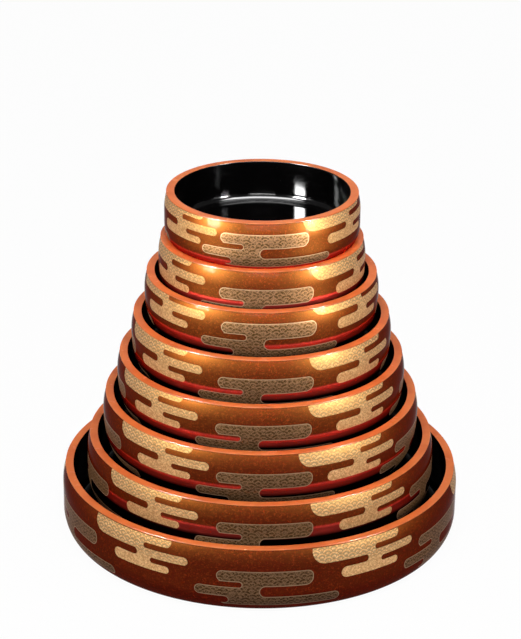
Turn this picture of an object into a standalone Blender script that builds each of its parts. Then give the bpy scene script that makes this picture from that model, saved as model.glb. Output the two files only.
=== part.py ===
"""A graded set of eight round sushi rice tubs, stacked from the largest up to the smallest.

Each tub is a drum-shaped side wall, a flat rim on its top edge, a black liner bowl inside and a
base board under it. Tub 1, the smallest, rests on the mouth of tub 2. Tubs 2 to 7 each stand on
a round riser block in the tub below. Units are metres, +Z is up, and the set stands on z = 0.
"""

import math
from collections import namedtuple

import bpy

# Width of the whole set, tub 8 across its belly, from which the radii follow inwards
OVERALL_DIAMETER = 0.4240

# Heights of the tubs, from the foot to the top of the rim
TUB_1_HEIGHT = 0.0505
TUB_2_HEIGHT = 0.0505
TUB_3_HEIGHT = 0.0535
TUB_4_HEIGHT = 0.0560
TUB_5_HEIGHT = 0.0585
TUB_6_HEIGHT = 0.0615
TUB_7_HEIGHT = 0.0660
TUB_8_HEIGHT = 0.0724

# How far each rim stands above the rim of the tub below
TUB_2_SHOWS = 0.0377
TUB_3_SHOWS = 0.0461
TUB_4_SHOWS = 0.0448
TUB_5_SHOWS = 0.0448
TUB_6_SHOWS = 0.0482
TUB_7_SHOWS = 0.0358

# Free space all round between a tub's belly and the mouth that it stands in
TUB_2_SIDE_GAP = 0.0039
TUB_3_SIDE_GAP = 0.0031
TUB_4_SIDE_GAP = 0.0041
TUB_5_SIDE_GAP = 0.0042
TUB_6_SIDE_GAP = 0.0062
TUB_7_SIDE_GAP = 0.0152

# Free space all round between the foot of tub 1 and the mouth that it rests on
TUB_1_FOOT_GAP = 0.0027

# Drum shape, for the smallest tub and the largest, graded between them
SMALLEST_BULGE = 0.0021
LARGEST_BULGE = 0.0030
SMALLEST_FOOT_INSET = 0.0073
LARGEST_FOOT_INSET = 0.0154
BELLY_DROP = 0.0190

# Straight length of each side below its belly, before it rounds in towards the foot
TUB_1_STRAIGHT = 0.0140
TUB_2_STRAIGHT = 0.0115
TUB_3_STRAIGHT = 0.0010
TUB_4_STRAIGHT = 0.0010
TUB_5_STRAIGHT = 0.0010
TUB_6_STRAIGHT = 0.0010
TUB_7_STRAIGHT = 0.0240
TUB_8_STRAIGHT = 0.0290

# Rim, liner, foot and base board, alike on all tubs
RIM_WIDTH = 0.0086
RIM_THICKNESS = 0.0010
RIM_EDGE = 0.0004
RIM_OVERHANG = 0.0004
LINER_SETBACK = 0.0006
LINER_THICKNESS = 0.0016
FLOOR_HEIGHT = 0.0085
COVE_RADIUS = 0.0070
FOOT_WIDTH = 0.0120
BASE_RECESS = 0.0015

# Riser blocks
RISER_INSET = 0.0350
RISER_EDGE = 0.0010

# Clearance between pieces that touch
GAP = 0.0003

# Fineness of the round shapes
SEGMENTS = 32
SWELL_STEPS = 2
COVE_STEPS = 2
CORNER_STEPS = 4
SMOOTH_ANGLE = math.radians(35.0)
MERGE_DISTANCE = 0.00005

# Colours and roughness of the finishes
NASHIJI_RED = (0.150, 0.018, 0.008, 1.0)
NASHIJI_ROUGHNESS = 0.18
VERMILION = (0.800, 0.120, 0.040, 1.0)
VERMILION_ROUGHNESS = 0.22
LACQUER_BLACK = (0.006, 0.005, 0.005, 1.0)
LACQUER_BLACK_ROUGHNESS = 0.06
BOARD_BLACK = (0.020, 0.018, 0.017, 1.0)
BOARD_BLACK_ROUGHNESS = 0.45
RISER_BLACK = (0.030, 0.028, 0.026, 1.0)
RISER_BLACK_ROUGHNESS = 0.60

HEIGHTS = (
    TUB_1_HEIGHT,
    TUB_2_HEIGHT,
    TUB_3_HEIGHT,
    TUB_4_HEIGHT,
    TUB_5_HEIGHT,
    TUB_6_HEIGHT,
    TUB_7_HEIGHT,
    TUB_8_HEIGHT,
)
SIDE_GAPS = (
    TUB_2_SIDE_GAP,
    TUB_3_SIDE_GAP,
    TUB_4_SIDE_GAP,
    TUB_5_SIDE_GAP,
    TUB_6_SIDE_GAP,
    TUB_7_SIDE_GAP,
)
SHOWS = (
    TUB_2_SHOWS,
    TUB_3_SHOWS,
    TUB_4_SHOWS,
    TUB_5_SHOWS,
    TUB_6_SHOWS,
    TUB_7_SHOWS,
)
STRAIGHTS = (
    TUB_1_STRAIGHT,
    TUB_2_STRAIGHT,
    TUB_3_STRAIGHT,
    TUB_4_STRAIGHT,
    TUB_5_STRAIGHT,
    TUB_6_STRAIGHT,
    TUB_7_STRAIGHT,
    TUB_8_STRAIGHT,
)

Tub = namedtuple(
    "Tub",
    "number height rim_radius mouth_radius belly_radius foot_radius corner_height",
)


def clear_scene():
    """Remove whatever the scene holds."""
    for obj in list(bpy.data.objects):
        bpy.data.objects.remove(obj, do_unlink=True)


def make_collection(name):
    """Make a collection under the scene."""
    collection = bpy.data.collections.new(name)
    bpy.context.scene.collection.children.link(collection)
    return collection


def make_material(name, colour, roughness):
    """Make a lacquer or paint with a Principled BSDF."""
    material = bpy.data.materials.new(name)
    material.use_nodes = True
    shader = material.node_tree.nodes["Principled BSDF"]
    shader.inputs["Base Color"].default_value = colour
    shader.inputs["Roughness"].default_value = roughness
    shader.inputs["Metallic"].default_value = 0.0
    material.diffuse_color = colour
    return material


def graded(smallest, largest, index):
    """Grade a size evenly from the smallest tub, index 0, to the largest."""
    return smallest + (largest - smallest) * index / (len(HEIGHTS) - 1)


def grade_tubs():
    """Work out the set's radii, from the largest tub inwards, and list the smallest first."""
    tubs = []
    belly_radius = OVERALL_DIAMETER / 2
    for index in range(len(HEIGHTS) - 1, -1, -1):
        foot_inset = graded(SMALLEST_FOOT_INSET, LARGEST_FOOT_INSET, index)
        if index == 0:
            belly_radius = mouth_radius - TUB_1_FOOT_GAP + foot_inset
        elif index <= len(SIDE_GAPS):
            belly_radius = mouth_radius - SIDE_GAPS[index - 1]
        rim_radius = belly_radius - graded(SMALLEST_BULGE, LARGEST_BULGE, index)
        mouth_radius = rim_radius - RIM_WIDTH
        tubs.append(
            Tub(
                index + 1,
                HEIGHTS[index],
                rim_radius,
                mouth_radius,
                belly_radius,
                belly_radius - foot_inset,
                HEIGHTS[index] - BELLY_DROP - STRAIGHTS[index],
            )
        )
    tubs.reverse()
    return tubs


def seat_depth(upper, lower):
    """Depth that the upper tub's rounded corner drops past the lower rim's inner edge."""
    contact = lower.mouth_radius + RIM_EDGE
    outline = wall_outline(upper)
    for outer, inner in zip(outline, outline[1:]):
        if inner[0] <= contact <= outer[0]:
            share = (contact - inner[0]) / (outer[0] - inner[0])
            return inner[1] + share * (outer[1] - inner[1])
    return 0.0


def foot_levels(tubs):
    """Height of every tub's foot above the ground, the smallest tub first."""
    levels = [0.0] * len(tubs)
    for index in range(len(tubs) - 2, -1, -1):
        upper = tubs[index]
        lower = tubs[index + 1]
        lower_rim = levels[index + 1] + lower.height
        if index == 0:
            levels[index] = lower_rim - seat_depth(upper, lower) + GAP
        else:
            levels[index] = lower_rim + SHOWS[index - 1] - upper.height
    return levels


def turned(name, profile, closed, material, collection):
    """Turn a profile of (radius, z) points about the Z axis into one solid."""
    mesh = bpy.data.meshes.new(name)
    edges = [(i, i + 1) for i in range(len(profile) - 1)]
    if closed:
        edges.append((len(profile) - 1, 0))
    mesh.from_pydata([(radius, 0.0, z) for radius, z in profile], edges, [])
    obj = bpy.data.objects.new(name, mesh)
    collection.objects.link(obj)
    screw = obj.modifiers.new("Turn", "SCREW")
    screw.axis = "Z"
    screw.angle = math.tau
    screw.steps = SEGMENTS
    screw.render_steps = SEGMENTS
    screw.use_merge_vertices = True
    screw.merge_threshold = MERGE_DISTANCE
    mesh.materials.append(material)
    return obj


def round_edges(obj, width):
    """Round the sharp edges of a turned piece."""
    bevel = obj.modifiers.new("Rounded edges", "BEVEL")
    bevel.width = width
    bevel.segments = 1
    bevel.limit_method = "ANGLE"
    bevel.angle_limit = SMOOTH_ANGLE


def smooth(obj):
    """Make the modifiers' shape the object's own mesh, and shade it smooth."""
    depsgraph = bpy.context.evaluated_depsgraph_get()
    mesh = bpy.data.meshes.new_from_object(obj.evaluated_get(depsgraph))
    mesh.name = obj.name
    obj.modifiers.clear()
    obj.data = mesh
    mesh.shade_smooth()
    mesh.set_sharp_from_angle(angle=SMOOTH_ANGLE)


def arc(centre_radius, centre_z, width, height, start, end, steps):
    """Points on a quarter of an ellipse, angles in degrees from +X towards +Z."""
    points = []
    for step in range(steps + 1):
        angle = math.radians(start + (end - start) * step / steps)
        points.append(
            (centre_radius + width * math.cos(angle), centre_z + height * math.sin(angle))
        )
    return points


def wall_outline(tub):
    """Outer side of the drum: it swells to the belly, then rounds in under the foot."""
    top = tub.height - RIM_THICKNESS - GAP
    belly = tub.height - BELLY_DROP
    top_radius = tub.rim_radius - RIM_OVERHANG
    swell = tub.belly_radius - top_radius
    points = []
    for step in range(SWELL_STEPS + 1):
        share = 1.0 - step / SWELL_STEPS
        points.append((tub.belly_radius - swell * share**2, belly + (top - belly) * share))
    corner = arc(
        tub.foot_radius,
        tub.corner_height,
        tub.belly_radius - tub.foot_radius,
        tub.corner_height,
        0.0,
        -90.0,
        CORNER_STEPS,
    )
    return points + corner


def liner_radii(tub):
    """Inner and outer radius of the liner's upright wall."""
    inner = tub.mouth_radius + LINER_SETBACK
    return inner, inner + LINER_THICKNESS


def foot_inner_radius(tub):
    """Inner radius of the ring that the tub stands on."""
    return tub.foot_radius - FOOT_WIDTH


def make_side_wall(tub, material, collection):
    """Drum-shaped side wall, open at the top, with the foot ring turned in below."""
    inner = liner_radii(tub)[1] + GAP
    shelf = FLOOR_HEIGHT - LINER_THICKNESS - GAP
    bend = COVE_RADIUS + LINER_THICKNESS + GAP
    foot_inner = foot_inner_radius(tub)
    profile = wall_outline(tub)
    profile.append((foot_inner, 0.0))
    profile.append((foot_inner, shelf))
    profile += arc(inner - bend, shelf + bend, bend, bend, -90.0, 0.0, COVE_STEPS)
    profile.append((inner, tub.height - RIM_THICKNESS - GAP))
    return turned(f"tub_{tub.number}_side_wall", profile, True, material, collection)


def make_liner(tub, material, collection):
    """Black liner bowl with an upright wall, a coved corner and a flat floor."""
    inner, outer = liner_radii(tub)
    top = tub.height - RIM_THICKNESS - GAP
    under = FLOOR_HEIGHT - LINER_THICKNESS
    bend = COVE_RADIUS + LINER_THICKNESS
    profile = [(outer, top)]
    profile += arc(inner - COVE_RADIUS, under + bend, bend, bend, 0.0, -90.0, COVE_STEPS)
    profile += [(0.0, under), (0.0, FLOOR_HEIGHT)]
    profile += arc(
        inner - COVE_RADIUS,
        FLOOR_HEIGHT + COVE_RADIUS,
        COVE_RADIUS,
        COVE_RADIUS,
        -90.0,
        0.0,
        COVE_STEPS,
    )
    profile.append((inner, top))
    return turned(f"tub_{tub.number}_liner", profile, True, material, collection)


def make_rim(tub, material, collection):
    """Flat rim that caps the side wall and the liner."""
    low = tub.height - RIM_THICKNESS
    profile = [
        (tub.rim_radius, tub.height),
        (tub.rim_radius, low),
        (tub.mouth_radius, low),
        (tub.mouth_radius, tub.height),
    ]
    rim = turned(f"tub_{tub.number}_rim", profile, True, material, collection)
    round_edges(rim, RIM_EDGE)
    return rim


def make_base_board(tub, material, collection):
    """Base board inside the foot ring, set up a little from the ground."""
    radius = foot_inner_radius(tub) - GAP
    top = FLOOR_HEIGHT - LINER_THICKNESS - GAP
    profile = [(0.0, top), (radius, top), (radius, BASE_RECESS), (0.0, BASE_RECESS)]
    return turned(f"tub_{tub.number}_base_board", profile, False, material, collection)


def make_riser(tub, height, material, collection):
    """Riser block under one tub, modelled from its own underside up."""
    radius = foot_inner_radius(tub) - RISER_INSET
    profile = [(0.0, height), (radius, height), (radius, 0.0), (0.0, 0.0)]
    riser = turned(f"riser_{tub.number}", profile, False, material, collection)
    round_edges(riser, RISER_EDGE)
    return riser


def make_anchor(name, level, collection):
    """Empty on the set's axis that carries one loose piece."""
    anchor = bpy.data.objects.new(name, None)
    anchor.empty_display_size = FOOT_WIDTH
    anchor.location = (0.0, 0.0, level)
    collection.objects.link(anchor)
    return anchor


def main():
    clear_scene()
    collection = make_collection("sushi_rice_tubs")
    wall_lacquer = make_material("nashiji_lacquer", NASHIJI_RED, NASHIJI_ROUGHNESS)
    rim_lacquer = make_material("vermilion_lacquer", VERMILION, VERMILION_ROUGHNESS)
    liner_lacquer = make_material("black_lacquer", LACQUER_BLACK, LACQUER_BLACK_ROUGHNESS)
    board_paint = make_material("base_board_paint", BOARD_BLACK, BOARD_BLACK_ROUGHNESS)
    riser_paint = make_material("riser_paint", RISER_BLACK, RISER_BLACK_ROUGHNESS)

    tubs = grade_tubs()
    levels = foot_levels(tubs)
    for index, tub in enumerate(tubs):
        level = levels[index]
        anchor = make_anchor(f"tub_{tub.number}_axis", level, collection)
        pieces = [
            make_side_wall(tub, wall_lacquer, collection),
            make_liner(tub, liner_lacquer, collection),
            make_rim(tub, rim_lacquer, collection),
            make_base_board(tub, board_paint, collection),
        ]
        for piece in pieces:
            piece.parent = anchor
            smooth(piece)

    for index in range(1, len(tubs) - 1):
        upper = tubs[index]
        low = levels[index + 1] + FLOOR_HEIGHT + GAP
        high = levels[index] + BASE_RECESS - GAP
        anchor = make_anchor(f"riser_{upper.number}_axis", low, collection)
        riser = make_riser(upper, high - low, riser_paint, collection)
        riser.parent = anchor
        smooth(riser)


main()
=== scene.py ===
"""Looks and studio for a graded stack of eight lacquered sushi rice tubs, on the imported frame.

Everything is in the frame of the CAD model: +Z up, and -Y towards the camera's side. Lengths
are in metres where no comment says mm.
"""

import math

import bmesh
import bpy
from mathutils import Matrix, Vector


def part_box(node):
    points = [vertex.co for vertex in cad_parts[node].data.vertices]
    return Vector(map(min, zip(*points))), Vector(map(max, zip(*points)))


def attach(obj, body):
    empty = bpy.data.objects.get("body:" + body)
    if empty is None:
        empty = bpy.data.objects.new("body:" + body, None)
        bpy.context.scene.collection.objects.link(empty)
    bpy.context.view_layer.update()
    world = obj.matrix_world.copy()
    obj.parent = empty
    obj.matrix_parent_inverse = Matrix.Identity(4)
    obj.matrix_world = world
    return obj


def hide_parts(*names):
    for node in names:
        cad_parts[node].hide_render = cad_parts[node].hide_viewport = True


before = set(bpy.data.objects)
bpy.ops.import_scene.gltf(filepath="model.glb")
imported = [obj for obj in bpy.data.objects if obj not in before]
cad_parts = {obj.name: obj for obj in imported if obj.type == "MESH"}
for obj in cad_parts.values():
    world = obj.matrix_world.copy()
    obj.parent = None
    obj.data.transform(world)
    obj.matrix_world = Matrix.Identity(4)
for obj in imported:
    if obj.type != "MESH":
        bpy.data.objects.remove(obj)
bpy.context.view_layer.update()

TUBS = range(1, 9)


# Base boards. A round board of plywood closes the underside of each tub inside its foot ring.
# It is brushed with thin black paint, so the grain still shows, and patches are rubbed thin.

BOARD_BLACK = (0.018, 0.016, 0.015, 1.0)
BOARD_WORN = (0.075, 0.055, 0.040, 1.0)
BOARD_SHINE = (0.0, 1.4)
BOARD_GRAIN = 0.016
BOARD_WEAR = 0.7
BOARD_RELIEF = 0.35
PAINT_IOR = 1.10
RELIEF_DEPTH = 0.0003

# Scales of noise are per metre. A pair of values says where a noise or a distance starts to
# count and where it counts in full.
GRAIN_STRETCH = (1.0, 12.0, 12.0)
GRAIN_DETAIL = 5.0
GRAIN_WAVER = 0.6
PATCH_SCALE = 35.0
PATCH_DETAIL = 4.0
RUBBED = (0.78, 1.05)


def add_node(tree, kind, inputs=None, **settings):
    """Add a shader node, set its own settings, then set or link its named inputs."""
    node = tree.nodes.new("ShaderNode" + kind)
    for setting, value in settings.items():
        setattr(node, setting, value)
    for socket, value in (inputs or {}).items():
        if isinstance(value, bpy.types.NodeSocket):
            tree.links.new(value, node.inputs[socket])
        else:
            node.inputs[socket].default_value = value
    return node


def calculate(tree, operation, first, second=0.0, third=0.0):
    """Add a Math node and give back its result."""
    inputs = {0: first, 1: second, 2: third}
    return add_node(tree, "Math", inputs, operation=operation).outputs[0]


def fade(tree, value, low, high):
    """Smooth step of a value, from 0 at low to 1 at high."""
    inputs = {"Value": value, "From Min": low, "From Max": high}
    node = add_node(tree, "MapRange", inputs, interpolation_type="SMOOTHSTEP")
    return node.outputs["Result"]


def blend(tree, share, first, second):
    """Mix two colours by a share and give back the colour."""
    inputs = {0: share, 6: first, 7: second}
    return add_node(tree, "Mix", inputs, data_type="RGBA").outputs[2]


def noise(tree, place, scale, detail, distortion=0.0):
    """Value of a noise texture at a place."""
    inputs = {"Vector": place, "Scale": scale, "Detail": detail, "Distortion": distortion}
    return add_node(tree, "TexNoise", inputs).outputs["Fac"]


def bump(tree, height, strength, depth=RELIEF_DEPTH):
    """Normal of a surface that a height mask raises by a small depth."""
    inputs = {"Strength": strength, "Distance": depth, "Height": height}
    return add_node(tree, "Bump", inputs).outputs["Normal"]


def start_finish(name, **shader_values):
    """Start a material whose Principled BSDF has these values on its own sockets."""
    material = bpy.data.materials.new(name)
    material.use_nodes = True
    shader = material.node_tree.nodes["Principled BSDF"]
    for socket, value in shader_values.items():
        shader.inputs[socket.replace("_", " ")].default_value = value
    return material, material.node_tree, shader


def feed(tree, shader, **sockets):
    """Link node outputs to the shader's sockets."""
    for socket, output in sockets.items():
        tree.links.new(output, shader.inputs[socket.replace("_", " ")])


def start_group(name, inputs, outputs):
    """Start a shader node group with named sockets, given as (name, kind) pairs."""
    tree = bpy.data.node_groups.new(name, "ShaderNodeTree")
    for socket, kind in inputs:
        tree.interface.new_socket(socket, in_out="INPUT", socket_type="NodeSocket" + kind)
    for socket, kind in outputs:
        tree.interface.new_socket(socket, in_out="OUTPUT", socket_type="NodeSocket" + kind)
    entry = tree.nodes.new("NodeGroupInput").outputs
    leave = tree.nodes.new("NodeGroupOutput").inputs
    return tree, entry, leave


def use_group(tree, group, **inputs):
    """Place a node group in a tree, with its named inputs set or linked."""
    named = {socket.replace("_", " "): value for socket, value in inputs.items()}
    return add_node(tree, "Group", named, node_tree=group).outputs


def make_rubbed_wood():
    """Shader group: long wood grain, with a mask of where the paint is rubbed thin."""
    tree, entry, leave = start_group(
        "rubbed wood",
        [("Place", "Vector"), ("Grain Size", "Float"), ("Wear", "Float")],
        [("Grain", "Float"), ("Rubbed", "Float")],
    )
    along = add_node(tree, "Mapping", {"Vector": entry["Place"], "Scale": GRAIN_STRETCH})
    density = calculate(tree, "DIVIDE", 1.0, entry["Grain Size"])
    grain = noise(tree, along.outputs[0], density, GRAIN_DETAIL, GRAIN_WAVER)
    patches = noise(tree, entry["Place"], PATCH_SCALE, PATCH_DETAIL)
    amount = calculate(tree, "ADD", grain, calculate(tree, "MULTIPLY", patches, entry["Wear"]))
    tree.links.new(grain, leave["Grain"])
    tree.links.new(fade(tree, amount, *RUBBED), leave["Rubbed"])
    return tree


rubbed_wood = make_rubbed_wood()


def make_board_paint():
    """Thin black paint over plywood."""
    material, tree, shader = start_finish("base_board_paint", IOR=PAINT_IOR)
    place = add_node(tree, "TexCoord").outputs["Object"]
    wood = use_group(tree, rubbed_wood, Place=place, Grain_Size=BOARD_GRAIN, Wear=BOARD_WEAR)
    feed(
        tree,
        shader,
        Base_Color=blend(tree, wood["Rubbed"], BOARD_BLACK, BOARD_WORN),
        Roughness=fade(tree, wood["Grain"], *BOARD_SHINE),
        Normal=bump(tree, wood["Grain"], BOARD_RELIEF),
    )
    return material


board_paint = make_board_paint()
for number in TUBS:
    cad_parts[f"tub_{number}_base_board"].data.materials[0] = board_paint


# Riser blocks. A plain round block stands in each of the lower tubs, out of sight, and lifts the
# tub above so that more of its side shows. They are turned from board and painted dark grey.

RISER_GREY = (0.030, 0.028, 0.026, 1.0)
RISER_RUBBED = (0.110, 0.085, 0.060, 1.0)
RISER_ROUGHNESS = 0.65
RISER_GRAIN = 0.024
RISER_WEAR = 0.9
RISER_RELIEF = 0.4
RISER_RELIEF_DEPTH = 0.0004
RISERS = range(2, 8)


def make_riser_paint():
    """Matt dark grey paint on turned board, rubbed where tubs have stood."""
    material, tree, shader = start_finish(
        "riser_paint", Roughness=RISER_ROUGHNESS, IOR=PAINT_IOR
    )
    place = add_node(tree, "TexCoord").outputs["Object"]
    wood = use_group(tree, rubbed_wood, Place=place, Grain_Size=RISER_GRAIN, Wear=RISER_WEAR)
    feed(
        tree,
        shader,
        Base_Color=blend(tree, wood["Rubbed"], RISER_GREY, RISER_RUBBED),
        Normal=bump(tree, wood["Grain"], RISER_RELIEF, RISER_RELIEF_DEPTH),
    )
    return material


riser_paint = make_riser_paint()
for number in RISERS:
    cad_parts[f"riser_{number}"].data.materials[0] = riser_paint


# Liners. Each tub holds a black bowl with a flat floor, a small cove and an upright wall.
# It is moulded resin with a deep black gloss lacquer, and its top edge sits under the rim.

TURN_STEPS = 192
COVE_RADIUS = 0.0070
COVE_STEPS = 8
LINER_THICKNESS = 0.0016
FLAT_EDGE = 0.0004
MERGE_DISTANCE = 0.000002
SHARP_ANGLE = math.radians(35.0)

LINER_BLACK = (0.0012, 0.0010, 0.0011, 1.0)
LINER_DUST = (0.012, 0.011, 0.010, 1.0)
LINER_IOR = 1.17
LINER_ROUGHNESS = 0.085
LINER_WIPES = 0.04
LINER_RIPPLE = 0.020
LINER_RELIEF = 0.05

RIPPLE_DETAIL = 1.5
WIPE_STRETCH = (1.0, 1.0, 7.0)
WIPE_SCALE = 90.0
WIPE_DETAIL = 6.0
WIPES_SEEN = (0.45, 0.75)
DUST_SCALE = 260.0
DUST_SIZE = (0.16, 0.08)
DUST_KEPT = (0.90, 0.97)


def turn_about_axis(profile):
    """Spin a closed section of (radius, z, depth) points into a solid that keeps each depth."""
    bm = bmesh.new()
    depth_layer = bm.verts.layers.float.new("depth")
    points = []
    for radius, z, depth in profile:
        point = bm.verts.new((radius, 0.0, z))
        point[depth_layer] = depth
        points.append(point)
    edges = [bm.edges.new(pair) for pair in zip(points, points[1:] + points[:1])]
    bmesh.ops.spin(
        bm,
        geom=points + edges,
        cent=(0.0, 0.0, 0.0),
        axis=(0.0, 0.0, 1.0),
        angle=math.tau,
        steps=TURN_STEPS,
        use_merge=True,
    )
    bmesh.ops.remove_doubles(bm, verts=bm.verts, dist=MERGE_DISTANCE)
    bmesh.ops.recalc_face_normals(bm, faces=bm.faces)
    return bm


def finish_piece(name, bm, material):
    """Make the worked mesh an object in the scene, smooth between its sharp edges."""
    mesh = bpy.data.meshes.new(name)
    bm.to_mesh(mesh)
    bm.free()
    mesh.materials.append(material)
    mesh.shade_smooth()
    mesh.set_sharp_from_angle(angle=SHARP_ANGLE)
    piece = bpy.data.objects.new(name, mesh)
    bpy.context.scene.collection.objects.link(piece)
    return piece


def quarter(centre_radius, centre_z, width, height, start, end, steps):
    """Points (radius, z) on part of an ellipse, angles in degrees from +X towards +Z."""
    angles = [math.radians(start + (end - start) * step / steps) for step in range(steps + 1)]
    return [
        (centre_radius + width * math.cos(angle), centre_z + height * math.sin(angle))
        for angle in angles
    ]


def make_hand_polish():
    """Shader group: the slow waviness of hand-polished lacquer, faint wipe marks and dust."""
    tree, entry, leave = start_group(
        "hand polish",
        [("Place", "Vector"), ("Ripple Size", "Float")],
        [("Height", "Float"), ("Wipes", "Float"), ("Dust", "Float")],
    )
    density = calculate(tree, "DIVIDE", 1.0, entry["Ripple Size"])
    ripple = noise(tree, entry["Place"], density, RIPPLE_DETAIL)
    flat = add_node(tree, "Mapping", {"Vector": entry["Place"], "Scale": WIPE_STRETCH})
    wipes = noise(tree, flat.outputs[0], WIPE_SCALE, WIPE_DETAIL)
    specks = add_node(tree, "TexVoronoi", {"Vector": entry["Place"], "Scale": DUST_SCALE})
    tint = add_node(tree, "SeparateColor", {"Color": specks.outputs["Color"]}).outputs[0]
    small = fade(tree, specks.outputs["Distance"], *DUST_SIZE)
    dust = calculate(tree, "MULTIPLY", small, fade(tree, tint, *DUST_KEPT))
    tree.links.new(ripple, leave["Height"])
    tree.links.new(fade(tree, wipes, *WIPES_SEEN), leave["Wipes"])
    tree.links.new(dust, leave["Dust"])
    return tree


hand_polish = make_hand_polish()


def make_black_lacquer():
    """Deep black gloss with a trace of dust."""
    material, tree, shader = start_finish("black_lacquer", IOR=LINER_IOR)
    place = add_node(tree, "TexCoord").outputs["Object"]
    polish = use_group(tree, hand_polish, Place=place, Ripple_Size=LINER_RIPPLE)
    feed(
        tree,
        shader,
        Base_Color=blend(tree, polish["Dust"], LINER_BLACK, LINER_DUST),
        Roughness=calculate(
            tree, "MULTIPLY_ADD", polish["Wipes"], LINER_WIPES, LINER_ROUGHNESS
        ),
        Normal=bump(tree, polish["Height"], LINER_RELIEF),
    )
    return material


def liner_profile(outer, low, top):
    """Section through the bowl, from its outer top edge round to its inner top edge.

    A narrow flat edge on either side of the cove keeps the floor and the wall free of its shading.
    """
    inner = outer - LINER_THICKNESS
    floor = low + LINER_THICKNESS
    centre = inner - COVE_RADIUS
    bend = COVE_RADIUS + LINER_THICKNESS
    outside = quarter(centre, low + bend, bend, bend, 0.0, -90.0, COVE_STEPS)
    inside = quarter(centre, floor + COVE_RADIUS, COVE_RADIUS, COVE_RADIUS, -90.0, 0.0, COVE_STEPS)
    flat_floor = [(0.0, low), (0.0, floor), (centre - FLAT_EDGE, floor)]
    upright = [(inner, floor + COVE_RADIUS + FLAT_EDGE), (inner, top)]
    section = [(outer, top)] + outside + flat_floor + inside + upright
    return [(radius, z, 0.0) for radius, z in section]


black_lacquer = make_black_lacquer()
for number in TUBS:
    low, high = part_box(f"tub_{number}_liner")
    bm = turn_about_axis(liner_profile(high.x, low.z, high.z))
    liner = finish_piece(f"dressed_tub_{number}_liner", bm, black_lacquer)
    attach(liner, f"tub_{number}")
    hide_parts(f"tub_{number}_liner")


# Side walls. Each drum-shaped ring swells to a belly and rounds in under its foot. Gold powder
# is sprinkled in amber lacquer over a red-brown ground, and mist clouds with wave lines are laid
# in silver low on the side and in gold below the rim, all under a clear gloss coat.

# How far the belly lies below the top of the rim, and how far each side runs straight down
# from there before it rounds in.
BELLY_DROP = 0.0190
STRAIGHTS = {
    1: 0.0140,
    2: 0.0115,
    3: 0.0010,
    4: 0.0010,
    5: 0.0010,
    6: 0.0010,
    7: 0.0240,
    8: 0.0290,
}
FOOT_WIDTH = 0.0120
FIT_GAP = 0.0003
RIM_EDGE = 0.0004
SWELL_STEPS = 12
STRAIGHT_STEPS = 4
CORNER_STEPS = 20

MM = 1000.0

# The hidden back of a wall gets a depth far below any cloud, so that it has none and is black.
HIDDEN_DEPTH = 1.0

# Distances round a wall are measured on a circle this far outside its rim.
MEASURED_PAST_RIM = 0.0025

# The lacquer: a red-brown ground, amber powder grains, and a tinted clear coat that takes the
# white out of flat reflections.
GROUND_DARK = (0.066, 0.0008, 0.0045, 1.0)
GROUND_WARM = (0.084, 0.0016, 0.0064, 1.0)
FLAKE_AMBER = (0.175, 0.013, 0.0095, 1.0)
AMBER_SHEEN = (1.0, 0.56, 0.080, 1.0)
AMBER_COAT = (0.800, 0.480, 0.360, 1.0)
GROUND_DRIFT_SCALE = 22.0
GROUND_DRIFT_DETAIL = 3.0
GROUND_DRIFT_SEEN = (0.3, 0.75)
FLAKE_CLUMP_SCALE = 330.0
FLAKE_CLUMP_DETAIL = 2.0
FLAKE_CLUMP_SEEN = (0.32, 0.68)
FLAKE_CLUMP_GAIN = 1.25
FLAKES_SEEN = (0.42, 0.98)
FLAKE_GRAIN = 0.0011
LACQUER_IOR = 1.13
LACQUER_ROUGHNESS = 0.40
GRAIN_ROUGHNESS = 0.16
LACQUER_RIPPLE = 0.030
LACQUER_RELIEF = 0.04
COAT_IOR = 1.02
COAT_ROUGHNESS = 0.06
COAT_LOST_ON_CLOUDS = -0.6

# The polished foot band is coloured with a painted crimson reflection of the rim below, and under
# it with painted black shade of the gap. Depths are in mm.
PAINTED_RIM_REFLECTION = (0.45, 0.070, 0.072, 1.0)
PAINTED_BAND_BLUR = 5.0
PAINTED_REFLECTION_END = 8.5
PAINTED_SHADE_START = 13.5
BAND_METAL = 0.62
BAND_ROUGHNESS = 0.16
BAND_WIPES = 0.05

# The clouds, and the metal powder in them.
SILVER_FILL = (0.0160, 0.0092, 0.0060, 1.0)
SILVER_LINE = (0.100, 0.065, 0.043, 1.0)
SILVER_EDGE = (0.165, 0.125, 0.090, 1.0)
GOLD_FILL = (0.620, 0.390, 0.175, 1.0)
GOLD_LINE = (0.250, 0.240, 0.150, 1.0)
GOLD_BRIGHT = (0.950, 0.720, 0.380, 1.0)
SILVER_METAL = 0.05
SILVER_GRAIN_SEEN = (0.2, 1.1)
GOLD_GRAIN_SEEN = (0.1, 1.0)
CLOUD_GRAIN = 0.0014
POWDER_CLUMP_SHARE = 0.4
POWDER_CLUMP_DETAIL = 2.0
POWDER_LEAST = 0.4

# The edges of the clouds, and the arcs and lines of the waves on them, in mm.
CLOUD_BLUR = 0.15
OUTLINE_INNER = -1.10
OUTLINE_OUTER = -0.75
WAVE_WIDTH = 13.2
WAVE_RISE = 3.95
SILVER_WAVE_LINE = 0.6
GOLD_WAVE_LINE = 0.9
GOLD_WAVES_WHOLE = 10.0
GOLD_WAVES_GONE = 30.0

# How many rings each arc holds, the shares of a line's width where it is whole and where it is
# gone, and how strongly the lines show on gold.
WAVE_RINGS = 2.0
LINE_DRAWN = 0.5
LINE_CLEAR = 1.1
GOLD_WAVE_SHARE = 0.80

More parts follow.
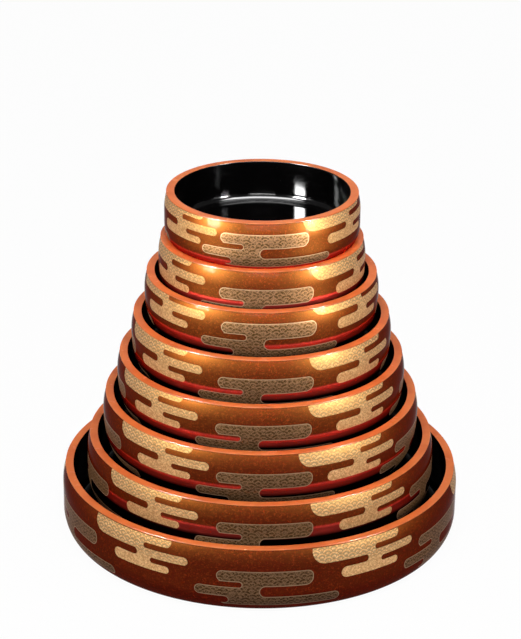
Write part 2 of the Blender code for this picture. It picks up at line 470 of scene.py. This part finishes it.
# Where the clouds lie on each tub, in mm round the wall from the middle of the front, and in mm
# below the top of the rim: silver top, gold top, front silver, left and right gold, left and
# right silver, number of silver clouds, and the size of the clouds across and down.
CLOUD_PLACES = {
    1: (12.0, -2.4, -3.0, -102.0, 101.0, -203.0, 203.0, 3, 0.93, 0.875),
    2: (19.0, -1.8, -1.0, -119.0, 115.0, -225.0, 225.0, 3, 1.0, 1.0),
    3: (12.0, -8.5, 2.0, -118.0, 115.0, -233.0, 233.0, 3, 1.0, 1.0),
    4: (20.0, -1.5, -1.0, -120.0, 113.0, -230.0, 230.0, 4, 1.0, 1.0),
    5: (19.6, -1.7, -3.0, -124.0, 112.0, -236.0, 236.0, 4, 1.0, 1.0),
    6: (21.0, -0.8, -1.5, -111.0, 102.0, -230.0, 208.0, 5, 1.0, 1.0),
    7: (20.0, -0.9, -0.7, -122.0, 115.0, -243.0, 228.0, 5, 1.0, 1.0),
    8: (24.0, 2.0, 0.0, -132.0, 117.0, -249.0, 231.5, 6, 1.0, 1.0),
}

# Depth in mm below the top of the rim where the polished foot band of each tub starts, with its
# painted reflection of the rim and painted shade of the gap.
PAINTED_BAND_STARTS = {1: 40.0, 2: 31.0, 3: 34.0, 4: 32.5, 5: 32.5, 6: 34.5, 7: 25.0, 8: 95.0}


def wall_profile(number):
    """Section through a side wall, its outer side first, with the depth below the rim."""
    low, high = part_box(f"tub_{number}_side_wall")
    liner_low, liner_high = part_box(f"tub_{number}_liner")
    rim_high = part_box(f"tub_{number}_rim")[1]
    board_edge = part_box(f"tub_{number}_base_board")[1].x
    belly = high.x
    top_radius = rim_high.x - RIM_EDGE
    foot_inner = board_edge + FIT_GAP
    foot_radius = foot_inner + FOOT_WIDTH
    belly_z = rim_high.z - BELLY_DROP
    corner_z = belly_z - STRAIGHTS[number]
    outline = []
    for step in range(SWELL_STEPS):
        share = 1.0 - step / SWELL_STEPS
        radius = belly - (belly - top_radius) * share**2
        outline.append((radius, belly_z + (high.z - belly_z) * share))
    for step in range(STRAIGHT_STEPS):
        outline.append((belly, belly_z + (corner_z - belly_z) * step / STRAIGHT_STEPS))
    outline += quarter(
        foot_radius, corner_z, belly - foot_radius, corner_z - low.z, 0.0, -90.0, CORNER_STEPS
    )
    section = []
    depth = rim_high.z - high.z
    for (radius, z), before in zip(outline, [outline[0]] + outline):
        depth += math.dist((radius, z), before)
        section.append((radius, z, depth))
    inner = liner_high.x + FIT_GAP
    shelf = liner_low.z - FIT_GAP
    bend = COVE_RADIUS + LINER_THICKNESS + FIT_GAP
    back = [(foot_inner, low.z), (foot_inner, shelf)]
    back += quarter(inner - bend, shelf + bend, bend, bend, -90.0, 0.0, COVE_STEPS)
    back.append((inner, high.z))
    section += [(radius, z, HIDDEN_DEPTH) for radius, z in back]
    return section


def turned_by(angle):
    """An angle brought into the half turn on either side of zero."""
    return (angle + math.pi) % math.tau - math.pi


def spread_round(known, count):
    """Angles of all the clouds of a ring: the ones seen, and the rest evenly round the back."""
    spare = count - len(known)
    gap = (known[0] + math.tau - known[-1]) / (spare + 1)
    return known + [known[-1] + gap * (step + 1) for step in range(spare)]


def cloud_angles(number, reach):
    """Angles of the silver clouds round one tub, and of the gold clouds, one between each two."""
    middle, left_gold, right_gold, left, right, count = CLOUD_PLACES[number][2:8]
    silver = spread_round([turned / MM / reach for turned in (left, middle, right)], count)
    gold = [left_gold / MM / reach, right_gold / MM / reach]
    ring = silver[2:] + [silver[0] + math.tau]
    gold += [(one + other) / 2 for one, other in zip(ring, ring[1:])]
    return silver, gold


def diagonal(tree, across, up):
    """Length of the line that goes this far across and this far up."""
    squares = calculate(
        tree,
        "ADD",
        calculate(tree, "MULTIPLY", across, across),
        calculate(tree, "MULTIPLY", up, up),
    )
    return calculate(tree, "SQRT", squares)


def map_clouds(bm, name, angles, reach, top, across, down):
    """Lay a UV map in mm over the wall, with its origin at the nearest cloud's own origin."""
    uv = bm.loops.layers.uv.new(name)
    depth_layer = bm.verts.layers.float["depth"]
    for face in bm.faces:
        centre = face.calc_center_median()
        facing = math.atan2(centre.x, -centre.y)
        nearest = min((turned_by(facing - angle) for angle in angles), key=abs)
        for loop in face.loops:
            co = loop.vert.co
            angle = nearest + turned_by(math.atan2(co.x, -co.y) - facing)
            depth = loop.vert[depth_layer] * MM - top
            loop[uv].uv = (angle * reach * MM / across, depth / down)


def mark_painted_band(bm, start):
    """Mark how far every point lies below the start of the foot band of painted reflection and
    shade, in mm.
    """
    depth_layer = bm.verts.layers.float["depth"]
    painted_band_layer = bm.verts.layers.float.new("below_painted_band")
    for vert in bm.verts:
        vert[painted_band_layer] = vert[depth_layer] * MM - start


def make_pill():
    """Shader group: distance in mm to a level pill shape, negative inside it."""
    tree, entry, leave = start_group(
        "pill",
        [("Place", "Vector"), ("Left", "Float"), ("Right", "Float")]
        + [("Top", "Float"), ("Bottom", "Float")],
        [("Distance", "Float")],
    )
    spot = add_node(tree, "SeparateXYZ", {"Vector": entry["Place"]}).outputs
    height = calculate(tree, "SUBTRACT", entry["Bottom"], entry["Top"])
    radius = calculate(tree, "MULTIPLY", height, 0.5)
    level = calculate(tree, "ADD", entry["Top"], radius)
    start = calculate(tree, "ADD", entry["Left"], radius)
    end = calculate(tree, "SUBTRACT", entry["Right"], radius)
    held = calculate(tree, "MINIMUM", calculate(tree, "MAXIMUM", spot["X"], start), end)
    side = calculate(tree, "SUBTRACT", spot["X"], held)
    rise = calculate(tree, "SUBTRACT", spot["Y"], level)
    distance = calculate(tree, "SUBTRACT", diagonal(tree, side, rise), radius)
    tree.links.new(distance, leave["Distance"])
    return tree


pill = make_pill()

# The pills that each kind of cloud is made of, and the bays that are cut into it, as left end,
# right end, top and bottom in mm. A bay that opens to the side runs out to a far end.
FAR = 400.0
SILVER_LOBES = (
    (-43.0, 56.0, 0.0, 12.5),
    (-25.0, 56.0, 0.0, 17.0),
    (-66.0, 5.0, 18.5, 29.5),
    (-40.0, 84.0, 28.5, 40.0),
    (-42.0, 26.0, 2.0, 38.0),
)
SILVER_BAYS = (
    (-FAR, -17.0, 12.5, 18.5),
    (1.5, FAR, 17.0, 28.5),
    (-FAR, -31.0, 29.5, 38.0),
)
GOLD_LOBES = (
    (-62.0, 20.0, -10.0, 17.0),
    (-20.0, 40.0, -4.0, 8.0),
    (-5.0, 59.0, 14.0, 23.0),
    (-31.0, 32.0, 25.0, 37.0),
    (5.0, 38.0, 29.0, 37.0),
    (-12.0, 27.0, 5.0, 35.0),
)
GOLD_BAYS = (
    (-FAR, 0.0, 17.0, 25.0),
    (8.0, FAR, 8.0, 14.0),
    (16.0, FAR, 23.0, 29.0),
)


def make_cloud(name, lobes, bays, flat_top):
    """Shader group: distance in mm to the edge of a mist cloud, negative inside it."""
    tree, entry, leave = start_group(name, [("Place", "Vector")], [("Distance", "Float")])

    def reach_of(left, right, top, bottom):
        return use_group(
            tree, pill, Place=entry["Place"], Left=left, Right=right, Top=top, Bottom=bottom
        )["Distance"]

    edge = reach_of(*lobes[0])
    for lobe in lobes[1:]:
        edge = calculate(tree, "MINIMUM", edge, reach_of(*lobe))
    for bay in bays:
        inside = calculate(tree, "MULTIPLY", reach_of(*bay), -1.0)
        edge = calculate(tree, "MAXIMUM", edge, inside)
    if flat_top:
        spot = add_node(tree, "SeparateXYZ", {"Vector": entry["Place"]}).outputs
        edge = calculate(tree, "MAXIMUM", edge, calculate(tree, "MULTIPLY", spot["Y"], -1.0))
    tree.links.new(edge, leave["Distance"])
    return tree


silver_cloud = make_cloud("silver mist cloud", SILVER_LOBES, SILVER_BAYS, False)
gold_cloud = make_cloud("gold mist cloud", GOLD_LOBES, GOLD_BAYS, True)


def make_wave_lines():
    """Shader group: seigaiha, rows of overlapping arcs. Gives a mask of the drawn lines."""
    tree, entry, leave = start_group(
        "seigaiha waves",
        [("Place", "Vector"), ("Width", "Float"), ("Rise", "Float"), ("Line", "Float")],
        [("Lines", "Float")],
    )
    spot = add_node(tree, "SeparateXYZ", {"Vector": entry["Place"]}).outputs
    radius = calculate(tree, "MULTIPLY", entry["Width"], 0.5)
    upward = calculate(tree, "MULTIPLY", spot["Y"], -1.0)
    row = calculate(tree, "FLOOR", calculate(tree, "DIVIDE", upward, entry["Rise"]))

    def arc_distance(row_number):
        odd = calculate(tree, "FLOORED_MODULO", row_number, 2.0)
        shift = calculate(tree, "MULTIPLY", odd, radius)
        along = calculate(tree, "ADD", spot["X"], shift)
        wrapped = calculate(tree, "FLOORED_MODULO", along, entry["Width"])
        side = calculate(tree, "SUBTRACT", wrapped, radius)
        level = calculate(tree, "MULTIPLY", row_number, entry["Rise"])
        up = calculate(tree, "SUBTRACT", upward, level)
        return diagonal(tree, side, up)

    back = arc_distance(row)
    front = arc_distance(calculate(tree, "SUBTRACT", row, 1.0))
    covered = calculate(tree, "LESS_THAN", front, radius)
    step = calculate(tree, "MULTIPLY", calculate(tree, "SUBTRACT", front, back), covered)
    distance = calculate(tree, "ADD", back, step)
    ring = calculate(tree, "DIVIDE", calculate(tree, "SUBTRACT", radius, distance), radius)
    count = calculate(tree, "MULTIPLY", ring, WAVE_RINGS)
    beat = calculate(tree, "FLOORED_MODULO", count, 1.0)
    near = calculate(tree, "MINIMUM", beat, calculate(tree, "SUBTRACT", 1.0, beat))
    spread = calculate(tree, "MULTIPLY", near, radius)
    width = calculate(tree, "DIVIDE", spread, WAVE_RINGS)
    drawn = calculate(tree, "MULTIPLY", entry["Line"], LINE_DRAWN)
    clear = calculate(tree, "MULTIPLY", entry["Line"], LINE_CLEAR)
    tree.links.new(fade(tree, width, clear, drawn), leave["Lines"])
    return tree


wave_lines = make_wave_lines()


def make_gold_powder():
    """Shader group: sprinkled metal powder, as a tone for each grain that thins out in clumps."""
    tree, entry, leave = start_group(
        "gold powder",
        [("Place", "Vector"), ("Grain Size", "Float")],
        [("Tone", "Float")],
    )
    density = calculate(tree, "DIVIDE", 1.0, entry["Grain Size"])
    fine = add_node(tree, "TexVoronoi", {"Vector": entry["Place"], "Scale": density})
    tone = add_node(tree, "SeparateColor", {"Color": fine.outputs["Color"]}).outputs[0]
    coarse = calculate(tree, "MULTIPLY", density, POWDER_CLUMP_SHARE)
    clumps = noise(tree, entry["Place"], coarse, POWDER_CLUMP_DETAIL)
    thickness = calculate(tree, "ADD", clumps, POWDER_LEAST)
    mixed = calculate(tree, "MULTIPLY", tone, thickness)
    tree.links.new(mixed, leave["Tone"])
    return tree


gold_powder = make_gold_powder()


def make_nashiji_lacquer():
    """Gold powder in amber lacquer over red-brown, with the two kinds of cloud laid on it, and a
    painted rim reflection and painted gap shade at the foot.
    """
    material, tree, shader = start_finish(
        "nashiji_lacquer",
        IOR=LACQUER_IOR,
        Specular_Tint=AMBER_SHEEN,
        Coat_Roughness=COAT_ROUGHNESS,
        Coat_IOR=COAT_IOR,
        Coat_Tint=AMBER_COAT,
    )
    place = add_node(tree, "TexCoord").outputs["Object"]
    silver_place = add_node(tree, "UVMap", uv_map="silver_cloud").outputs["UV"]
    gold_place = add_node(tree, "UVMap", uv_map="gold_cloud").outputs["UV"]

    drift = noise(tree, place, GROUND_DRIFT_SCALE, GROUND_DRIFT_DETAIL)
    ground = blend(tree, fade(tree, drift, *GROUND_DRIFT_SEEN), GROUND_DARK, GROUND_WARM)
    powder = use_group(tree, gold_powder, Place=place, Grain_Size=FLAKE_GRAIN)["Tone"]
    clumps = noise(tree, place, FLAKE_CLUMP_SCALE, FLAKE_CLUMP_DETAIL)
    clumped = fade(tree, clumps, *FLAKE_CLUMP_SEEN)
    thick = calculate(tree, "MULTIPLY", clumped, FLAKE_CLUMP_GAIN)
    flakes = calculate(tree, "MULTIPLY", fade(tree, powder, *FLAKES_SEEN), thick)
    sprinkled = blend(tree, calculate(tree, "MINIMUM", flakes, 1.0), ground, FLAKE_AMBER)

    grain = use_group(tree, gold_powder, Place=place, Grain_Size=CLOUD_GRAIN)["Tone"]
    silver_edge = use_group(tree, silver_cloud, Place=silver_place)["Distance"]
    silver_mask = fade(tree, silver_edge, CLOUD_BLUR, -CLOUD_BLUR)
    outline = fade(tree, silver_edge, OUTLINE_INNER, OUTLINE_OUTER)
    silver_waves = use_group(
        tree,
        wave_lines,
        Place=silver_place,
        Width=WAVE_WIDTH,
        Rise=WAVE_RISE,
        Line=SILVER_WAVE_LINE,
    )["Lines"]
    silver = blend(tree, fade(tree, grain, *SILVER_GRAIN_SEEN), SILVER_FILL, SILVER_LINE)
    silver = blend(tree, silver_waves, silver, SILVER_LINE)
    silver = blend(tree, calculate(tree, "MULTIPLY", silver_mask, outline), silver, SILVER_EDGE)

    gold_edge = use_group(tree, gold_cloud, Place=gold_place)["Distance"]
    gold_mask = fade(tree, gold_edge, CLOUD_BLUR, -CLOUD_BLUR)
    gold_depth = add_node(tree, "SeparateXYZ", {"Vector": gold_place}).outputs["Y"]
    gold_waves = use_group(
        tree,
        wave_lines,
        Place=gold_place,
        Width=WAVE_WIDTH,
        Rise=WAVE_RISE,
        Line=GOLD_WAVE_LINE,
    )["Lines"]
    fading = fade(tree, gold_depth, GOLD_WAVES_GONE, GOLD_WAVES_WHOLE)
    fading = calculate(tree, "MULTIPLY", gold_waves, fading)
    gold = blend(tree, fade(tree, grain, *GOLD_GRAIN_SEEN), GOLD_FILL, GOLD_BRIGHT)
    gold = blend(tree, calculate(tree, "MULTIPLY", fading, GOLD_WAVE_SHARE), gold, GOLD_LINE)

    clouds = calculate(tree, "MAXIMUM", silver_mask, gold_mask)
    below_painted_band = add_node(tree, "Attribute", attribute_name="below_painted_band").outputs["Fac"]
    band = fade(tree, below_painted_band, 0.0, PAINTED_BAND_BLUR)
    polished_and_painted_band = calculate(tree, "MULTIPLY", band, calculate(tree, "SUBTRACT", 1.0, clouds))
    # Painted reflection of the rim below in crimson, turning lower down to painted black shade of
    # the gap between the tubs.
    painted_gap_shade = fade(tree, below_painted_band, PAINTED_REFLECTION_END, PAINTED_SHADE_START)
    painted_reflection_and_shade = blend(tree, painted_gap_shade, PAINTED_RIM_REFLECTION, LINER_BLACK)
    colour = blend(tree, silver_mask, sprinkled, silver)
    colour = blend(tree, gold_mask, colour, gold)
    colour = blend(tree, polished_and_painted_band, colour, painted_reflection_and_shade)

    polish = use_group(tree, hand_polish, Place=place, Ripple_Size=LACQUER_RIPPLE)
    silver_metal = calculate(tree, "MULTIPLY", silver_mask, SILVER_METAL)
    rough = calculate(tree, "MULTIPLY_ADD", powder, GRAIN_ROUGHNESS, LACQUER_ROUGHNESS)
    band_rough = calculate(tree, "MULTIPLY_ADD", polish["Wipes"], BAND_WIPES, BAND_ROUGHNESS)
    smoother = calculate(tree, "SUBTRACT", band_rough, rough)
    feed(
        tree,
        shader,
        Base_Color=colour,
        Metallic=calculate(tree, "MULTIPLY_ADD", polished_and_painted_band, BAND_METAL, silver_metal),
        Roughness=calculate(tree, "MULTIPLY_ADD", polished_and_painted_band, smoother, rough),
        Coat_Weight=calculate(tree, "MULTIPLY_ADD", clouds, COAT_LOST_ON_CLOUDS, 1.0),
        Normal=bump(tree, polish["Height"], LACQUER_RELIEF),
    )
    return material


nashiji_lacquer = make_nashiji_lacquer()
for number in TUBS:
    silver_top, gold_top = CLOUD_PLACES[number][:2]
    across, down = CLOUD_PLACES[number][-2:]
    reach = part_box(f"tub_{number}_rim")[1].x + MEASURED_PAST_RIM
    silver_angles, gold_angles = cloud_angles(number, reach)
    bm = turn_about_axis(wall_profile(number))
    map_clouds(bm, "silver_cloud", silver_angles, reach, silver_top, across, down)
    map_clouds(bm, "gold_cloud", gold_angles, reach, gold_top, across, down)
    mark_painted_band(bm, PAINTED_BAND_STARTS[number])
    wall = finish_piece(f"dressed_tub_{number}_side_wall", bm, nashiji_lacquer)
    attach(wall, f"tub_{number}")
    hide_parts(f"tub_{number}_side_wall")


# Rims. A flat ring caps the wall and the liner of each tub, with its edges rounded over.
# It is masked and sprayed in vermilion gloss, and its upright inner side stays black.

RIM_WIDTH = 0.0086
RIM_EDGE_SEGMENTS = 4
RIM_CORNER = math.radians(45.0)
FACING_INWARD = -0.5

RIM_VERMILION = (0.850, 0.208, 0.050, 1.0)
RIM_DEEP = (0.730, 0.150, 0.034, 1.0)
RIM_IOR = 1.13
RIM_ROUGHNESS = 0.22
RIM_WIPES = 0.08
RIM_RIPPLE = 0.012
RIM_RELIEF = 0.06
RIM_PATCH_SCALE = 28.0
RIM_PATCH_DETAIL = 5.0
RIM_PATCH_SEEN = (0.35, 0.75)


def make_vermilion_lacquer():
    """Vermilion gloss, a little deeper in slow patches."""
    material, tree, shader = start_finish("vermilion_lacquer", IOR=RIM_IOR)
    place = add_node(tree, "TexCoord").outputs["Object"]
    polish = use_group(tree, hand_polish, Place=place, Ripple_Size=RIM_RIPPLE)
    patches = noise(tree, place, RIM_PATCH_SCALE, RIM_PATCH_DETAIL)
    masked = add_node(tree, "Attribute", attribute_name="inner_side").outputs["Fac"]
    sprayed = blend(tree, fade(tree, patches, *RIM_PATCH_SEEN), RIM_VERMILION, RIM_DEEP)
    feed(
        tree,
        shader,
        Base_Color=blend(tree, masked, sprayed, LINER_BLACK),
        Roughness=calculate(tree, "MULTIPLY_ADD", polish["Wipes"], RIM_WIPES, RIM_ROUGHNESS),
        Normal=bump(tree, polish["Height"], RIM_RELIEF),
    )
    return material


vermilion_lacquer = make_vermilion_lacquer()
for number in TUBS:
    low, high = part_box(f"tub_{number}_rim")
    mouth = high.x - RIM_WIDTH
    section = [(high.x, high.z), (high.x, low.z), (mouth, low.z), (mouth, high.z)]
    bm = turn_about_axis([(radius, z, 0.0) for radius, z in section])
    corners = [edge for edge in bm.edges if edge.calc_face_angle() > RIM_CORNER]
    bmesh.ops.bevel(
        bm,
        geom=corners,
        offset=RIM_EDGE,
        offset_type="OFFSET",
        affect="EDGES",
        segments=RIM_EDGE_SEGMENTS,
        profile=0.5,
        material=-1,
    )
    inner_layer = bm.faces.layers.float.new("inner_side")
    bm.normal_update()
    for face in bm.faces:
        outward = face.calc_center_median()
        outward.z = 0.0
        face[inner_layer] = float(face.normal.dot(outward.normalized()) < FACING_INWARD)
    rim = finish_piece(f"dressed_tub_{number}_rim", bm, vermilion_lacquer)
    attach(rim, f"tub_{number}")
    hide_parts(f"tub_{number}_rim")


# Studio floor and surroundings. The set stands on a plain pale floor that the camera sees as
# white with a faint shadow. The surroundings are a pale grey, and give a soft even light.

FLOOR_HALF = 4.0
FLOOR_PALE = (0.90, 0.90, 0.90, 1.0)
FLOOR_GLOW = 0.965
SURROUNDINGS_PALE = (0.80, 0.80, 0.80, 1.0)
WORLD_LIGHT = 0.50


def seen_directly(tree):
    """Share that is 1 for camera, glossy and transmission rays."""
    path = add_node(tree, "LightPath").outputs
    either = calculate(tree, "MAXIMUM", path["Is Camera Ray"], path["Is Glossy Ray"])
    return calculate(tree, "MAXIMUM", either, path["Is Transmission Ray"])


def make_floor_paper():
    """Pale matt paper that reads as white to the camera but keeps the shadow."""
    material = bpy.data.materials.new("studio_paper")
    material.use_nodes = True
    tree = material.node_tree
    tree.nodes.clear()
    matt = add_node(tree, "BsdfDiffuse", {"Color": FLOOR_PALE})
    white = add_node(tree, "Emission", {"Strength": 1.0})
    share = calculate(tree, "MULTIPLY", seen_directly(tree), FLOOR_GLOW)
    mixed = add_node(tree, "MixShader", {0: share, 1: matt.outputs[0], 2: white.outputs[0]})
    add_node(tree, "OutputMaterial", {"Surface": mixed.outputs[0]})
    return material


bm = bmesh.new()
bmesh.ops.create_grid(bm, x_segments=1, y_segments=1, size=FLOOR_HALF)
floor = finish_piece("studio_floor", bm, make_floor_paper())

world = bpy.data.worlds.new("studio_surroundings")
bpy.context.scene.world = world
world.use_nodes = True
world.node_tree.nodes.clear()
strength = add_node(
    world.node_tree,
    "MapRange",
    {"Value": seen_directly(world.node_tree), "To Min": WORLD_LIGHT, "To Max": 1.0},
).outputs["Result"]
surroundings = add_node(
    world.node_tree, "Background", {"Color": SURROUNDINGS_PALE, "Strength": strength}
)
add_node(world.node_tree, "OutputWorld", {"Surface": surroundings.outputs[0]})


# Lamps. A large soft box above the front gives the plain light. Upright strip boxes to the left,
# to the right and in front, and a wide one overhead, only leave highlights and glow in the gloss.

KEY_RISE = math.radians(55.0)
KEY_DISTANCE = 1.40
KEY_SIZE = 0.70
KEY_RADIANCE = 8.0
STRIP_SIDE = math.radians(54.0)
STRIP_DISTANCE = 0.78
OVERHEAD_RISE = math.radians(80.0)
OVERHEAD_DISTANCE = 1.10
OVERHEAD_WIDTH = 1.20
OVERHEAD_HEIGHT = 0.50
OVERHEAD_RADIANCE = 130.0
SET_MIDDLE = Vector((0.0, 0.0, 0.20))

# Each strip's angle round the set from the front, width, lower end, upper end and radiance.
STRIPS = {
    "left_strip": (-STRIP_SIDE, 0.20, 0.335, 0.80, 3300.0),
    "right_strip": (STRIP_SIDE, 0.13, 0.275, 0.60, 4200.0),
    "front_strip": (0.0, 0.50, 0.370, 0.58, 230.0),
}


def hang_soft_box(name, away, middle, width, height, radiance):
    """Rectangular lamp at a place, turned to shine back along its direction from the set."""
    lamp = bpy.data.lights.new(name, "AREA")
    lamp.shape = "RECTANGLE"
    lamp.size = width
    lamp.size_y = height
    lamp.energy = radiance * math.pi * width * height
    stand = bpy.data.objects.new(name, lamp)
    bpy.context.scene.collection.objects.link(stand)
    turn = away.to_track_quat("Z", "Y").to_matrix().to_4x4()
    stand.matrix_world = Matrix.Translation(middle) @ turn
    stand.visible_camera = False
    return stand


towards_key = Vector((0.0, -math.cos(KEY_RISE), math.sin(KEY_RISE)))
key_middle = towards_key * KEY_DISTANCE + SET_MIDDLE
hang_soft_box("key_box", towards_key, key_middle, KEY_SIZE, KEY_SIZE, KEY_RADIANCE)

towards_overhead = Vector((0.0, -math.cos(OVERHEAD_RISE), math.sin(OVERHEAD_RISE)))
overhead = hang_soft_box(
    "overhead_box",
    towards_overhead,
    towards_overhead * OVERHEAD_DISTANCE + SET_MIDDLE,
    OVERHEAD_WIDTH,
    OVERHEAD_HEIGHT,
    OVERHEAD_RADIANCE,
)
overhead.visible_diffuse = False

for name, (side, width, low, top, radiance) in STRIPS.items():
    away = Vector((math.sin(side), -math.cos(side), 0.0))
    middle = away * STRIP_DISTANCE + Vector((0.0, 0.0, (low + top) / 2))
    strip = hang_soft_box(name, away, middle, width, top - low, radiance)
    strip.visible_diffuse = False
    strip.data.cycles.max_bounces = 0


# Camera. It stands in front of the set and looks down on it through a long lens, at the angle
# that the photograph was taken from, with the same small tilt and offset of its picture.

SENSOR_WIDTH = 36.0
LENS = 132.96
SHIFT_X = -0.0011
SHIFT_Y = 0.003
CAMERA_BACK = 2.292
CAMERA_HEIGHT = 1.1954
CAMERA_PITCH = math.radians(22.8)
CAMERA_ROLL = math.radians(0.57)

camera_data = bpy.data.cameras.new("camera")
camera_data.sensor_width = SENSOR_WIDTH
camera_data.lens = LENS
camera_data.shift_x = SHIFT_X
camera_data.shift_y = SHIFT_Y
camera = bpy.data.objects.new("camera", camera_data)
bpy.context.scene.collection.objects.link(camera)
camera.matrix_world = (
    Matrix.Translation((0.0, -CAMERA_BACK, CAMERA_HEIGHT))
    @ Matrix.Rotation(math.pi / 2 - CAMERA_PITCH, 4, "X")
    @ Matrix.Rotation(CAMERA_ROLL, 4, "Z")
)
bpy.context.scene.camera = camera
bpy.context.scene.view_settings.view_transform = "Standard"
